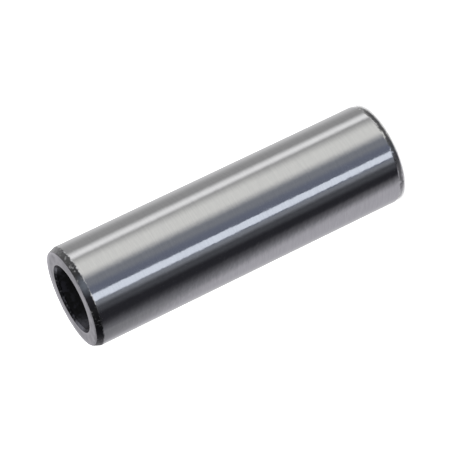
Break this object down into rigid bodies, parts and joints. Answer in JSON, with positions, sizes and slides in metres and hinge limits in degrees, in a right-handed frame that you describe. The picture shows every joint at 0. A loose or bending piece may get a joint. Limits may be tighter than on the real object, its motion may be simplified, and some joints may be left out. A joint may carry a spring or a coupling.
{
  "type": "gudgeon pin",
  "caption": "Hollow hardened steel gudgeon pin that joins a piston to its connecting rod, with a straight through bore and slim lead-in cones at its ends.",
  "frame": {"origin": "centre of the lower end face, on the pin's axis", "axes": "+Z along the pin's axis, from the lower end face to the upper one; X and Y are any two directions across the pin"},
  "size_m": [0.022, 0.022, 0.073],
  "materials": {
    "ground_steel": "ground and polished outside, ground end faces, dark hardening scale left on the lead-in cones and in the bore"
  },
  "bodies": {
    "root": {"gudgeon_pin": "ground_steel"}
  },
  "joints": []
}
